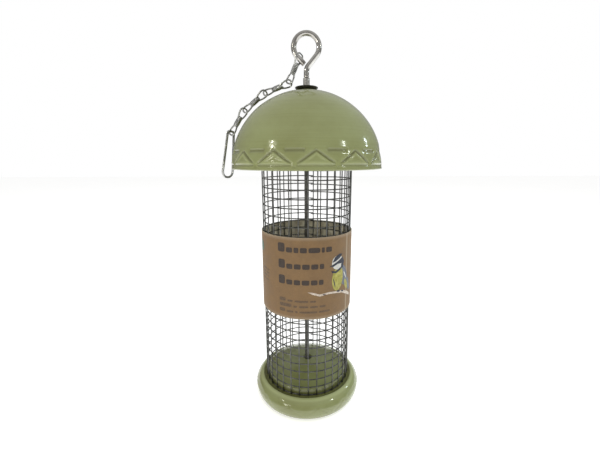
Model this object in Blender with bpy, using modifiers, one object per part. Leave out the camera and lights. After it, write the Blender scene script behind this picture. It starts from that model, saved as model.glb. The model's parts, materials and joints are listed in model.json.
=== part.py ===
"""A hanging wild-bird feeder: a glazed tray and a domed lid clamped on a steel rod, with a
cylinder of welded wire mesh between them, a card sleeve round the mesh, an eye on top and a
short knotted chain with a hanging loop. Units are metres, +Z is up, and the foot is at z = 0.
"""

from math import asin, atan2, cos, hypot, pi, radians, sin, sqrt, tan

import bmesh
import bpy
from mathutils import Matrix, Vector

MM = 0.001

# Gap kept between pieces that touch.
GAP = 0.3 * MM

# Welded mesh cage.
MESH_PITCH = 6.35 * MM
MESH_WIRE = 0.9 * MM
WIRES_ROUND = 32
CELLS_HIGH = 32
WIRES_PER_STRUT = 2  # the plain solid carries every second wire
CAGE_STRIPS = 8  # upright strips of the mesh, each a solid of its own

# Glazed tray.
TRAY_RADIUS = 42.0 * MM
TRAY_WIDEST_HEIGHT = 9.5 * MM
TRAY_LIP_HEIGHT = 16.0 * MM
TRAY_LIP_WIDTH = 4.6 * MM
TRAY_FOOT_WIDTH = 5.0 * MM
TRAY_FLOOR_RISE = 7.0 * MM
TRAY_FLOOR_EDGE = 4.4 * MM
TRAY_WALL = 6.4 * MM
TRAY_BORE = 4.0 * MM
GROOVE_CLEARANCE = 0.45 * MM
SEAT_RADIUS = 9.0 * MM

# Glazed lid.
LID_RADIUS = 54.5 * MM
LID_HEIGHT = 54.5 * MM
LID_WALL = 3.8 * MM
LID_BORE = 2.6 * MM
LID_RIM_ROUND = 0.8 * MM

# Rod and its fastenings.
ROD_RADIUS = 1.7 * MM
ROD_THREAD_RADIUS = 1.4 * MM
ROD_END_HEIGHT = 1.0 * MM
BORE_CLEARANCE = 0.35 * MM
SEAL_RADIUS = 8.0 * MM
SEAL_THICKNESS = 2.0 * MM
WASHER_RADIUS = 6.5 * MM
WASHER_THICKNESS = 1.0 * MM
NUT_ACROSS_FLATS = 7.0 * MM
NUT_HEIGHT = 3.2 * MM
LID_WASHER_RADIUS = 8.2 * MM
LID_WASHER_THICKNESS = 1.0 * MM
LID_WASHER_DROP = 1.0 * MM

# Eye and the collar that screws it to the rod.
COLLAR_RADIUS = 2.35 * MM
COLLAR_HEIGHT = 6.0 * MM
EYE_WIRE = 1.88 * MM
EYE_RADIUS = 8.86 * MM
EYE_CENTRE_ABOVE_COLLAR = 20.1 * MM
EYE_LEAVES_STEM_AT = radians(-40)
EYE_TAIL_AT = radians(225)
EYE_TAIL_LENGTH = 5.4 * MM
EYE_BEND_RADIUS = 6.0 * MM

# Card sleeve.
SLEEVE_HEIGHT = 59.0 * MM
SLEEVE_THICKNESS = 0.45 * MM
SLEEVE_BOTTOM_CELLS = 9.72  # in mesh pitches above the cage's lowest ring

# Knotted chain.
LINKS = 4
LINK_WIRE = 0.575 * MM
LINK_PITCH = 19.0 * MM
LINK_SLACK = 2.2 * MM  # from a link's upper bend to the wire that it hangs on
LINK_HALF_WIDTH = 3.43 * MM
LINK_NECK = 0.6 * MM
KNOT_RADIUS = 1.9 * MM
KNOT_LENGTH = 5.2 * MM
EYE_CLEARANCE = 0.745 * MM  # between the eye's wire and the first link's bend
EYE_SIDE_CLEARANCE = 0.0335 * MM  # between the eye's wire and the sides of that link's loop
MOST_BEND = radians(45)  # between the first link and the second
CHAIN_STAND_OFF = LINK_HALF_WIDTH + LINK_WIRE + 1.9 * MM
HOOK_ON_TAIL = 1.5 * MM
LOOP_WIRE = 0.85 * MM
LOOP_LENGTH = 31.0 * MM
LOOP_HALF_WIDTH = 4.65 * MM
LOOP_TOP_HALF_WIDTH = 2.6 * MM
LOOP_SLACK = 2.3 * MM
LOOP_TURN = radians(50)
LOOP_CLEARANCE = 0.6 * MM  # between the lid's side and the loop, which leans out to keep it

# Facets.
ROUND_STEPS = 48
SMALL_STEPS = 24

# Places that follow from the sizes.
RING_RADIUS = WIRES_ROUND * MESH_PITCH / (2 * pi)
CAGE_INNER = RING_RADIUS - MESH_WIRE / 2
CAGE_OUTER = RING_RADIUS + 1.5 * MESH_WIRE
TRAY_PLUG_RADIUS = CAGE_INNER - GROOVE_CLEARANCE
GROOVE_OUTER = CAGE_OUTER + GROOVE_CLEARANCE
GROOVE_FLOOR = TRAY_LIP_HEIGHT - 1.0 * MM
CAGE_BOTTOM = GROOVE_FLOOR + GAP
CAGE_TOP = CAGE_BOTTOM + CELLS_HIGH * MESH_PITCH + MESH_WIRE
PLUG_EDGE = GROOVE_FLOOR + TRAY_FLOOR_EDGE
FLOOR_TOP = PLUG_EDGE + TRAY_FLOOR_RISE
SEAT_UNDER = FLOOR_TOP - TRAY_WALL
LID_INNER_RADIUS = LID_RADIUS - LID_WALL
LID_INNER_HEIGHT = LID_HEIGHT - LID_WALL
LID_SEAT_HEIGHT = LID_INNER_HEIGHT * sqrt(1 - (CAGE_OUTER / LID_INNER_RADIUS) ** 2)
LID_RIM = CAGE_TOP + GAP - LID_SEAT_HEIGHT
LID_TOP = LID_RIM + LID_HEIGHT
LID_WASHER_UNDER = LID_TOP + GAP + 0.5 * LID_WASHER_DROP
LID_WASHER_TOP = LID_WASHER_UNDER + LID_WASHER_THICKNESS
COLLAR_BOTTOM = LID_WASHER_TOP + GAP
COLLAR_TOP = COLLAR_BOTTOM + COLLAR_HEIGHT
ROD_TOP = COLLAR_BOTTOM + 0.45 * COLLAR_HEIGHT
EYE_CENTRE = COLLAR_TOP + EYE_CENTRE_ABOVE_COLLAR
RING_SLACK = EYE_WIRE + LINK_WIRE + EYE_CLEARANCE - LINK_SLACK
SLEEVE_INNER = CAGE_OUTER + GAP
SLEEVE_BOTTOM = CAGE_BOTTOM + MESH_WIRE / 2 + SLEEVE_BOTTOM_CELLS * MESH_PITCH


def clear_scene():
    for thing in list(bpy.data.objects):
        bpy.data.objects.remove(thing, do_unlink=True)


def collection(name):
    made = bpy.data.collections.new(name)
    bpy.context.scene.collection.children.link(made)
    return made


def material(name, colour, roughness, metallic=0.0):
    made = bpy.data.materials.new(name)
    made.use_nodes = True
    shader = made.node_tree.nodes["Principled BSDF"]
    shader.inputs["Base Color"].default_value = (*colour, 1.0)
    shader.inputs["Roughness"].default_value = roughness
    shader.inputs["Metallic"].default_value = metallic
    return made


def add(name, data, finish=None, group=None):
    made = bpy.data.objects.new(name, data)
    (group or PARTS).objects.link(made)
    if finish:
        data.materials.append(finish)
    return made


def smooth(mesh, angle=40):
    mesh.shade_smooth()
    mesh.set_sharp_from_angle(angle=radians(angle))


def turned(name, outline, finish, steps=ROUND_STEPS, group=None, closed=True):
    """A solid of revolution. The outline is (radius, height) points, up inside and down outside."""
    mesh = bpy.data.meshes.new(name)
    points = [(radius, 0.0, height) for radius, height in outline]
    edges = [(i, i + 1) for i in range(len(points) - 1)]
    if closed:
        edges.append((len(points) - 1, 0))
    mesh.from_pydata(points, edges, [])
    made = add(name, mesh, finish, group)
    screw = made.modifiers.new("Turn", "SCREW")
    screw.steps = screw.render_steps = steps
    screw.use_merge_vertices = True
    screw.merge_threshold = 0.00001
    screw.use_smooth_shade = True
    return made


def wire(name, points, radius, finish=None, cyclic=False, resolution=2, group=None):
    """A round wire along points."""
    curve = bpy.data.curves.new(name, "CURVE")
    curve.dimensions = "3D"
    curve.bevel_depth = radius
    curve.bevel_resolution = resolution
    curve.use_fill_caps = True
    spline = curve.splines.new("POLY")
    spline.points.add(len(points) - 1)
    for place, point in zip(spline.points, points):
        place.co = (*point, 1.0)
    spline.use_cyclic_u = cyclic
    return add(name, curve, finish, group)


def solid_of(thing, finish=None, group=None):
    """Replaces an object by a plain mesh of what it shows, with loose caps welded."""
    name = thing.name
    graph = bpy.context.evaluated_depsgraph_get()
    mesh = bpy.data.meshes.new_from_object(thing.evaluated_get(graph))
    place = thing.matrix_world.copy()
    bpy.data.objects.remove(thing, do_unlink=True)
    shape = bmesh.new()
    shape.from_mesh(mesh)
    bmesh.ops.remove_doubles(shape, verts=shape.verts, dist=0.000001)
    shape.to_mesh(mesh)
    shape.free()
    mesh.materials.clear()
    made = add(name, mesh, finish, group)
    made.matrix_world = place
    return made


def helper(thing):
    thing.hide_render = True
    thing.display_type = "WIRE"
    return thing


def combine(thing, other, operation):
    step = thing.modifiers.new(operation.title(), "BOOLEAN")
    step.operation = operation
    step.object = helper(other)
    return thing


def cylinder(name, radius, low, high, finish=None, steps=SMALL_STEPS, group=None):
    mesh = bpy.data.meshes.new(name)
    shape = bmesh.new()
    bmesh.ops.create_cone(
        shape,
        cap_ends=True,
        segments=steps,
        radius1=radius,
        radius2=radius,
        depth=high - low,
        matrix=Matrix.Translation((0, 0, (low + high) / 2)),
    )
    shape.to_mesh(mesh)
    shape.free()
    smooth(mesh)
    return add(name, mesh, finish, group)


def arc(centre_x, centre_z, radius, start, end, steps):
    """Points of an arc in the XZ plane, from angle start to angle end."""
    turns = [start + (end - start) * i / steps for i in range(steps + 1)]
    return [(centre_x + radius * cos(a), centre_z + radius * sin(a)) for a in turns]


def rounded(corners, radii, steps=4, closed=True):
    """A path through corners, each turned with its own radius. Points are 2D."""
    out = []
    count = len(corners)
    for i, (corner, radius) in enumerate(zip(corners, radii)):
        here = Vector(corner)
        if radius == 0 or (not closed and i in (0, count - 1)):
            out.append(tuple(here))
            continue
        before = (Vector(corners[i - 1]) - here).normalized()
        after = (Vector(corners[(i + 1) % count]) - here).normalized()
        half = before.angle(after) / 2
        reach = radius * cos(half) / sin(half)
        middle = here + (before + after).normalized() * (radius / sin(half))
        first = here + before * reach - middle
        sweep = first.angle_signed(here + after * reach - middle)
        for step in range(steps + 1):
            turn = -sweep * step / steps
            out.append(tuple(middle + Matrix.Rotation(turn, 2) @ first))
    return out


def tray():
    """Domed floor with a plug that centres the cage, a groove for it, and a fat rounded lip."""
    lip_inner = GROOVE_OUTER
    lip_crest = lip_inner + TRAY_LIP_WIDTH / 2
    foot_outer = TRAY_RADIUS - TRAY_FOOT_WIDTH
    foot_inner = foot_outer - 1.4 * TRAY_FOOT_WIDTH
    floor = []
    for i in range(6):
        radius = TRAY_BORE + (TRAY_PLUG_RADIUS - TRAY_BORE) * i / 5
        floor.append((radius, FLOOR_TOP - TRAY_FLOOR_RISE * (radius / TRAY_PLUG_RADIUS) ** 2))
    belly = TRAY_LIP_HEIGHT - TRAY_WIDEST_HEIGHT
    shoulder = [
        (
            lip_crest + (TRAY_RADIUS - lip_crest) * sin(a),
            TRAY_WIDEST_HEIGHT + belly * cos(a),
        )
        for a in [radians(18 * i) for i in range(6)]
    ]
    below = [
        (
            foot_outer + (TRAY_RADIUS - foot_outer) * cos(a),
            TRAY_WIDEST_HEIGHT * (1 - sin(a)),
        )
        for a in [radians(18 * i) for i in range(1, 6)]
    ]
    outline = [(TRAY_BORE, SEAT_UNDER), *floor]
    outline += [(TRAY_PLUG_RADIUS, GROOVE_FLOOR), (lip_inner, GROOVE_FLOOR)]
    outline += [(lip_inner, TRAY_LIP_HEIGHT - 0.5 * MM), *shoulder, *below]
    outline += [(foot_inner, 0.0), (foot_inner - 2 * MM, 0.5 * SEAT_UNDER)]
    outline += [(SEAT_RADIUS + 4 * MM, SEAT_UNDER - 1.5 * MM), (SEAT_RADIUS, SEAT_UNDER)]
    turned("tray", outline, GLAZE)


def fastenings():
    """What holds the tray on the rod, from the tray down: a soft seal, a washer and a nut."""
    bore = ROD_RADIUS + BORE_CLEARANCE
    top = SEAT_UNDER - GAP
    for name, radius, thick, finish in (
        ("tray_seal", SEAL_RADIUS, SEAL_THICKNESS, RUBBER),
        ("tray_washer", WASHER_RADIUS, WASHER_THICKNESS, STEEL),
    ):
        low = top - thick
        turned(name, [(bore, low), (bore, top), (radius, top), (radius, low)], finish, SMALL_STEPS)
        top = low - GAP
    low = top - NUT_HEIGHT
    nut = cylinder("tray_nut", NUT_ACROSS_FLATS / sqrt(3), low, top, STEEL, 6)
    hole = cylinder("nut_bore", bore, low - MM, top + MM, group=CUTTERS)
    combine(nut, hole, "DIFFERENCE")


def rod():
    shoulder = COLLAR_BOTTOM - 0.5 * MM
    outline = [
        (0.0, ROD_TOP),
        (ROD_THREAD_RADIUS, ROD_TOP),
        (ROD_THREAD_RADIUS, shoulder),
        (ROD_RADIUS, shoulder),
        (ROD_RADIUS, ROD_END_HEIGHT),
        (0.0, ROD_END_HEIGHT),
    ]
    turned("centre_rod", outline, STEEL, 16, closed=False)


def strip_end(name, turn, low, high):
    """A slab where the next strip starts. It takes away this strip's last upright wire."""
    clear = MESH_WIRE / 2 + GAP
    slab = bmesh.new()
    bmesh.ops.create_cube(slab, size=1.0)
    bmesh.ops.scale(slab, vec=(3 * clear, 12 * MESH_WIRE, high - low), verts=slab.verts)
    bmesh.ops.translate(slab, vec=(clear / 2, -RING_RADIUS, (low + high) / 2), verts=slab.verts)
    bmesh.ops.rotate(slab, matrix=Matrix.Rotation(turn, 3, "Z"), verts=slab.verts)
    mesh = bpy.data.meshes.new(name)
    slab.to_mesh(mesh)
    slab.free()
    return add(name, mesh, group=CUTTERS)


def cage():
    """Welded mesh rolled into a cylinder: struts with square cells, in upright strips."""
    low = CAGE_BOTTOM + MESH_WIRE / 2
    rows = CELLS_HIGH // WIRES_PER_STRUT
    high = low + CELLS_HIGH * MESH_PITCH
    columns = WIRES_ROUND // WIRES_PER_STRUT // CAGE_STRIPS
    radius = RING_RADIUS + MESH_WIRE / 2
    across = columns + 1
    for i in range(CAGE_STRIPS):
        turns = [2 * pi * (i + j / columns) / CAGE_STRIPS for j in range(across)]
        heights = [low + (high - low) * k / rows for k in range(rows + 1)]
        points = [(radius * sin(a), -radius * cos(a), z) for z in heights for a in turns]
        starts = [k * across + j for k in range(rows) for j in range(columns)]
        faces = [(a, a + 1, a + 1 + across, a + across) for a in starts]
        mesh = bpy.data.meshes.new(f"mesh_cage_{i + 1}")
        mesh.from_pydata(points, [], faces)
        made = add(mesh.name, mesh, ZINC)
        struts = made.modifiers.new("Struts", "WIREFRAME")
        struts.thickness = MESH_WIRE
        struts.use_boundary = True
        struts.use_replace = True
        struts.use_even_offset = True
        end = strip_end(f"strip_end_{i + 1}", turns[-1], low - MM, high + MM)
        combine(made, end, "DIFFERENCE")


def sleeve():
    outer = SLEEVE_INNER + SLEEVE_THICKNESS
    top = SLEEVE_BOTTOM + SLEEVE_HEIGHT
    inside = [(SLEEVE_INNER, SLEEVE_BOTTOM), (SLEEVE_INNER, top)]
    outside = [(outer, top), (outer, SLEEVE_BOTTOM)]
    turned("card_sleeve", inside + outside, CARD, 64)


def dome(radius, height, start, steps):
    """Points down a dome's side from where it meets the bore of radius start."""
    first = asin(start / radius)
    turns = [first + (pi / 2 - first) * i / steps for i in range(steps + 1)]
    return [(radius * sin(a), LID_RIM + height * cos(a)) for a in turns]


def lid():
    """A domed shell whose inside rests on the cage's top."""
    inside = dome(LID_INNER_RADIUS, LID_INNER_HEIGHT, LID_BORE, 11)[::-1]
    outside = dome(LID_RADIUS, LID_HEIGHT, LID_BORE, 13)
    half = LID_WALL / 2
    rim = [
        (LID_RADIUS - half + half * cos(a), LID_RIM - LID_RIM_ROUND * sin(a))
        for a in (pi / 4, pi / 2, 3 * pi / 4)
    ]
    turned("dome_lid", [*inside, *outside, *rim], GLAZE)


def lid_washer():
    """A cupped washer, its edge turned down towards the lid."""
    bore = ROD_RADIUS + BORE_CLEARANCE
    flat = LID_WASHER_RADIUS - 1.6 * MM
    edge = LID_WASHER_UNDER - LID_WASHER_DROP * 0.5
    outline = [
        (bore, LID_WASHER_UNDER),
        (bore, LID_WASHER_TOP),
        (flat, LID_WASHER_TOP),
        (LID_WASHER_RADIUS, LID_WASHER_TOP - LID_WASHER_DROP),
        (LID_WASHER_RADIUS, edge),
        (LID_WASHER_RADIUS - 0.8 * MM, edge),
        (flat - 0.2 * MM, LID_WASHER_UNDER),
    ]
    turned("lid_washer", outline, DARK, 32)


def collar():
    bore = ROD_THREAD_RADIUS + BORE_CLEARANCE
    inside = [(bore, COLLAR_BOTTOM), (bore, COLLAR_TOP)]
    outside = [(COLLAR_RADIUS, COLLAR_TOP), (COLLAR_RADIUS, COLLAR_BOTTOM)]
    turned("eye_collar", inside + outside, STEEL, SMALL_STEPS)


def eye_places():
    """Places on the eye's path in the XZ plane: the bend's corner, where the ring starts, where it
    ends in the straight tail, and the tail's direction."""
    joins = Vector((cos(EYE_LEAVES_STEM_AT), sin(EYE_LEAVES_STEM_AT))) * EYE_RADIUS
    rise = Vector((-sin(EYE_LEAVES_STEM_AT), cos(EYE_LEAVES_STEM_AT)))
    corner = joins - rise * (joins.x / rise.x)
    tail = Vector((cos(EYE_TAIL_AT), sin(EYE_TAIL_AT))) * EYE_RADIUS
    along = Vector((-sin(EYE_TAIL_AT), cos(EYE_TAIL_AT)))
    up = Vector((0, EYE_CENTRE))
    return corner + up, joins + up, tail + up, along


def eye():
    """A rod bent into a ring, with a spigot that the collar holds."""
    corner, joins, tail, along = eye_places()
    stem_bottom = COLLAR_TOP + GAP
    corners = [(0, stem_bottom), tuple(corner), tuple(joins)]
    bend = rounded(corners, [0, EYE_BEND_RADIUS, 0], 6, closed=False)
    ring = arc(0, EYE_CENTRE, EYE_RADIUS, EYE_LEAVES_STEM_AT, EYE_TAIL_AT, 24)
    path = [*bend[:-1], *ring, tuple(tail + along * EYE_TAIL_LENGTH)]
    made = wire("eye", [(x, 0, z) for x, z in path], EYE_WIRE, resolution=4)
    made = solid_of(made, STEEL)
    smooth(made.data)
    spigot = cylinder("spigot", ROD_THREAD_RADIUS, ROD_TOP + GAP, stem_bottom + MM, group=CUTTERS)
    combine(made, spigot, "UNION")


def loop_path(neck, half_width, near, far, corner):
    """A closed loop, narrow at height near and wide at height far, as 2D points."""
    corners = [(-neck, near), (-half_width, far), (half_width, far), (neck, near)]
    return rounded(corners, [neck * 0.6, corner, corner, neck * 0.6], 4)


def ring_loop_half_width(knot):
    """Half width of a link's upper loop, whose sides run from the knot just clear of the eye's wire."""
    below = knot - RING_SLACK
    room = EYE_WIRE + LINK_WIRE + EYE_SIDE_CLEARANCE
    spread = asin(room / hypot(LINK_NECK, below)) - atan2(LINK_NECK, below)
    return LINK_NECK + (knot + LINK_SLACK) * tan(spread)


def link_mesh():
    """One chain link, hanging from the origin: two wide loops at right angles, joined by a knot."""
    knot = (LINK_PITCH - LINK_SLACK) / 2
    lower = loop_path(LINK_NECK, LINK_HALF_WIDTH, -knot, -LINK_PITCH, 1.6 * MM)
    upper = loop_path(LINK_NECK, ring_loop_half_width(knot), -knot, LINK_SLACK, 1.6 * MM)
    paths = {
        "lower_loop": [(x, 0, z) for x, z in lower],
        "upper_loop": [(0, x, z) for x, z in upper],
    }
    loops = []
    for name, points in paths.items():
        bent = wire(name, points, LINK_WIRE, cyclic=True, group=CUTTERS)
        loops.append(solid_of(bent, group=CUTTERS))
    low, high = -knot - KNOT_LENGTH / 2, -knot + KNOT_LENGTH / 2
    barrel = cylinder("knot", KNOT_RADIUS, low, high, steps=12, group=CUTTERS)
    for loop in loops:
        combine(barrel, loop, "UNION")
    solid = solid_of(barrel, group=CUTTERS)
    mesh = solid.data
    for thing in (solid, *loops):
        bpy.data.objects.remove(thing, do_unlink=True)
    smooth(mesh)
    mesh.materials.append(ZINC)
    return mesh


def on_stand_off(a):
    """A point beside the lid where the chain's middle lies, a being the angle from straight up."""
    out = -(LID_RADIUS + CHAIN_STAND_OFF) * sin(a)
    return Vector((out, LID_RIM + (LID_HEIGHT + CHAIN_STAND_OFF) * cos(a)))


def reached(hinge, step, angle):
    """The furthest place down the stand-off line, past angle, that a link of length step reaches."""
    low, high = angle, pi / 2
    for _ in range(50):
        middle = (low + high) / 2
        if (on_stand_off(middle) - hinge).length < step:
            low = middle
        else:
            high = middle
    return low


def hung(start, swing):
    """Hinges of a chain from start down the stand-off line, its first link swung out by swing."""
    hinges = [start]
    angle = 0.0
    for i in range(LINKS):
        step = LINK_PITCH - (RING_SLACK if i == 0 else 0)
        angle = reached(hinges[-1], step, angle)
        way = (on_stand_off(angle) - hinges[-1]).normalized()
        if i == 0:
            way = Matrix.Rotation(-swing, 2) @ way
        hinges.append(hinges[-1] + way * step)
    return hinges


def chain_hinges():
    """Where each link hangs, from the eye down the lid's side, in the XZ plane."""
    _, _, tail, along = eye_places()
    start = tail + along * HOOK_ON_TAIL
    swing = 0.0
    hinges = hung(start, swing)
    while (hinges[1] - hinges[0]).angle(hinges[2] - hinges[1]) > MOST_BEND:
        swing += radians(1)
        hinges = hung(start, swing)
    return hinges


def loop_lean(hinge):
    """The smallest lean from upright at which the hanging loop clears the lid's side."""
    spread = (LOOP_HALF_WIDTH - LOOP_TOP_HALF_WIDTH) / (LOOP_LENGTH + LOOP_SLACK)
    leans = []
    for radius, height in dome(LID_RADIUS, LID_HEIGHT, LID_BORE, 90):
        across = -radius - hinge.x
        down = hinge.y - height
        reach = hypot(across, down)
        half_width = LOOP_TOP_HALF_WIDTH + (reach + LOOP_SLACK) * spread
        room = half_width * cos(LOOP_TURN) + LOOP_WIRE + LOOP_CLEARANCE
        if down > 0 and room < reach < LOOP_LENGTH + LOOP_WIRE:
            leans.append(asin(room / reach) - atan2(across, down))
    return max(leans, default=0.0)


def chain():
    mesh = link_mesh()
    hinges = chain_hinges()
    for i in range(LINKS):
        way = hinges[i + 1] - hinges[i]
        lean = atan2(-way.x, -way.y)
        top = hinges[i] - way.normalized() * (RING_SLACK if i == 0 else 0)
        made = add(f"chain_link_{i + 1}", mesh)
        # The origin is the wire that the link hangs on, so the first link's shape starts above it.
        if i == 0:
            made.data = mesh.copy()
            made.data.transform(Matrix.Translation((0, 0, RING_SLACK)))
            top = hinges[0]
        made.location = (top.x, 0, top.y)
        made.rotation_euler = (0, lean, 0)
    hanging_loop(hinges[-1])


def hanging_loop(hinge):
    """The long loop of thicker wire at the chain's end."""
    points = loop_path(LOOP_TOP_HALF_WIDTH, LOOP_HALF_WIDTH, LOOP_SLACK, -LOOP_LENGTH, 4.0 * MM)
    made = wire("hanging_loop", [(x, 0, z) for x, z in points], LOOP_WIRE, ZINC, cyclic=True)
    made.rotation_mode = "ZYX"
    made.location = (hinge.x, 0, hinge.y)
    made.rotation_euler = (0, loop_lean(hinge), LOOP_TURN)


clear_scene()
PARTS = collection("bird_feeder")
CUTTERS = collection("cutters")
GLAZE = material("sage glaze", (0.24, 0.25, 0.11), 0.18)
STEEL = material("polished steel", (0.60, 0.57, 0.53), 0.25, 1.0)
ZINC = material("zinc wire", (0.50, 0.50, 0.50), 0.40, 1.0)
DARK = material("dark washer", (0.02, 0.018, 0.012), 0.45)
RUBBER = material("black rubber", (0.03, 0.03, 0.03), 0.80)
CARD = material("kraft card", (0.30, 0.19, 0.10), 0.85)
tray()
fastenings()
rod()
cage()
sleeve()
lid()
lid_washer()
collar()
eye()
chain()
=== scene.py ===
"""Looks for the hanging bird feeder: glazed tray and lid, welded mesh, card sleeve, eye, chain."""

import json
from math import asin, atan2, cos, pi, radians, sin

import bmesh
import bpy
import numpy as np
from mathutils import Matrix, Vector


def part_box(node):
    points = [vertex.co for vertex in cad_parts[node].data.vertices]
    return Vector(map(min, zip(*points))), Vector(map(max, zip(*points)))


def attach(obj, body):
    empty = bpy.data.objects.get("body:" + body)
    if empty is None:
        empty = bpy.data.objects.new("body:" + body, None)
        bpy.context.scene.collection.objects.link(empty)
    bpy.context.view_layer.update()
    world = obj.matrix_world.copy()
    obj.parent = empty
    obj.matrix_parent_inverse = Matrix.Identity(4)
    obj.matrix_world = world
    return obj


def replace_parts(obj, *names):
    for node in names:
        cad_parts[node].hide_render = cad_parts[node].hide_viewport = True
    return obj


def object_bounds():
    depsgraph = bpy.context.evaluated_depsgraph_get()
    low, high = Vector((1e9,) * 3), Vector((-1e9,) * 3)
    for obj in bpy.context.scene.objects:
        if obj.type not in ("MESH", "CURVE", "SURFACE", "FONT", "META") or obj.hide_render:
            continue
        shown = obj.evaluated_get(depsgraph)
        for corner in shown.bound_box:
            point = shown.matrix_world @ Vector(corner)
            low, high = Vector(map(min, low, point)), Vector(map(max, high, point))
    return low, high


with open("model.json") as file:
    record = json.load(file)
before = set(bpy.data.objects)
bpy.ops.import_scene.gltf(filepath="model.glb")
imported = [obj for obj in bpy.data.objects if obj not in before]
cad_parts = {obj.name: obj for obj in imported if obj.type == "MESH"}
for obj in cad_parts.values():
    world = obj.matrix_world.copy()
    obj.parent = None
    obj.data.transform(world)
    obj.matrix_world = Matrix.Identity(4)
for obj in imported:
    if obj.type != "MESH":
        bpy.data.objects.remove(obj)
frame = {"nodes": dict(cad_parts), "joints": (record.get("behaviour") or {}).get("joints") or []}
cad_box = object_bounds()

MM = 0.001
MESH_PITCH = 6.35 * MM
MESH_WIRE = 0.84 * MM
WIRES_ROUND = 32
TRIANGLES_ROUND = 13
TRIANGLE_TURN = radians(6.2)
LINK_WIRE = 0.575 * MM
LINK_PITCH = 19.0 * MM
LINK_SLACK = 2.2 * MM
RING_SLACK = 1.0 * MM
LINK_HALF_WIDTH = 3.43 * MM
LINK_TURN = radians(-40)
LINK_NECK = 0.6 * MM
LINK_CORNER = 2.4 * MM
KNOT_RADIUS = 1.45 * MM
KNOT_REACH = 3.9 * MM
KNOT_TURNS = 3.9
LOOP_WIRE = 0.85 * MM
LOOP_LENGTH = 31.0 * MM
LOOP_TURN = radians(50)
EYE_RADIUS = 8.86 * MM
EYE_WIRE = 1.88 * MM
RING_RADIUS = WIRES_ROUND * MESH_PITCH / (2 * pi)


# Node graphs -----------------------------------------------------------------


class Graph:
    """A material's nodes, built with short calls. Values are numbers, colours or sockets."""

    def __init__(self, name):
        self.material = bpy.data.materials.new(name)
        self.material.use_nodes = True
        self.tree = self.material.node_tree
        self.shader = self.tree.nodes["Principled BSDF"]
        self.place = self.node("ShaderNodeTexCoord").outputs["Object"]

    def node(self, kind, **settings):
        made = self.tree.nodes.new(kind)
        for name, value in settings.items():
            setattr(made, name, value)
        return made

    def join(self, value, socket):
        if isinstance(value, bpy.types.NodeSocket):
            self.tree.links.new(value, socket)
        else:
            socket.default_value = value

    def math(self, operation, *values):
        made = self.node("ShaderNodeMath", operation=operation)
        for value, socket in zip(values, made.inputs):
            self.join(value, socket)
        return made.outputs[0]

    def stretched(self, scale, turn=(0, 0, 0)):
        made = self.node("ShaderNodeMapping")
        self.join(self.place, made.inputs["Vector"])
        made.inputs["Scale"].default_value = scale
        made.inputs["Rotation"].default_value = turn
        return made.outputs[0]

    def noise(self, scale, detail=3.0, rough=0.5, vector=None):
        made = self.node("ShaderNodeTexNoise")
        self.join(vector or self.place, made.inputs["Vector"])
        made.inputs["Scale"].default_value = scale
        made.inputs["Detail"].default_value = detail
        made.inputs["Roughness"].default_value = rough
        return made.outputs["Fac"]

    def spread(self, value, low, high, out_low=0.0, out_high=1.0):
        made = self.node("ShaderNodeMapRange")
        for item, socket in zip((value, low, high, out_low, out_high), made.inputs):
            self.join(item, socket)
        return made.outputs[0]

    def ramp(self, value, *stops):
        made = self.node("ShaderNodeValToRGB")
        self.join(value, made.inputs[0])
        marks = made.color_ramp.elements
        while len(marks) < len(stops):
            marks.new(0.5)
        for mark, (place, colour) in zip(marks, stops):
            mark.position = place
            mark.color = (*colour, 1.0)
        return made.outputs[0]

    def mix(self, factor, one, other):
        made = self.node("ShaderNodeMix", data_type="RGBA")
        self.join(factor, made.inputs["Factor"])
        for value, name in ((one, "A"), (other, "B")):
            socket = [s for s in made.inputs if s.name == name and s.type == "RGBA"][0]
            self.join((*value, 1.0) if isinstance(value, tuple) else value, socket)
        return [s for s in made.outputs if s.type == "RGBA"][0]

    def attribute(self, name):
        return self.node("ShaderNodeAttribute", attribute_name=name).outputs["Fac"]

    def bump(self, height, strength, distance, under=None):
        made = self.node("ShaderNodeBump")
        made.inputs["Strength"].default_value = strength
        made.inputs["Distance"].default_value = distance
        self.join(height, made.inputs["Height"])
        if under:
            self.join(under, made.inputs["Normal"])
        return made.outputs[0]

    def finish(self, **inputs):
        for name, value in inputs.items():
            self.join(value, self.shader.inputs[name.replace("_", " ")])
        return self.material


def glaze(name, light, dark, pooled_and_shaded):
    """Glossy glaze over turned clay: darker where the glaze gathers in the grooves, with painted shade in
    the tray's groove by the cage and painted highlight as pale edges.
    """
    g = Graph(name)
    cloud = g.noise(26, 4, 0.55)
    rings = g.noise(1.0, 3, 0.6, g.stretched((14, 14, 900)))
    fine = g.noise(1.0, 2, 0.5, g.stretched((60, 60, 3200)))
    speck = g.noise(1500, 2, 0.7)
    tone = g.math("ADD", g.math("MULTIPLY", cloud, 0.76), g.math("MULTIPLY", rings, 0.24))
    colour = g.ramp(tone, (0.34, dark), (0.66, light))
    colour = g.mix(g.spread(speck, 0.62, 0.80, 0.0, 0.35), colour, pooled_and_shaded)
    # The dark colour is laid where glaze gathers in the grooves, and as painted shade in the tray's groove
    # by the cage.
    colour = g.mix(g.spread(g.attribute("pool_and_shade"), 0.0, 1.0, 0.0, 0.62), colour, pooled_and_shaded)
    # Painted highlight: where the thin attribute is set, the colour goes pale.
    pale = tuple(min(1.0, c * 1.45 + 0.03) for c in light)
    colour = g.mix(g.spread(g.attribute("thin"), 0.0, 1.0, 0.0, 0.7), colour, pale)
    ridge = g.math("ADD", rings, g.math("MULTIPLY", fine, 0.35))
    normal = g.bump(ridge, 0.22, 0.00012, g.bump(g.noise(240, 2, 0.4), 0.22, 0.0005))
    rough = g.spread(g.noise(90, 3), 0.3, 0.7, 0.09, 0.19)
    return g.finish(
        Base_Color=colour,
        Roughness=rough,
        Normal=normal,
        Coat_Weight=0.35,
        Coat_Roughness=0.04,
        IOR=1.5,
    )


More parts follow.
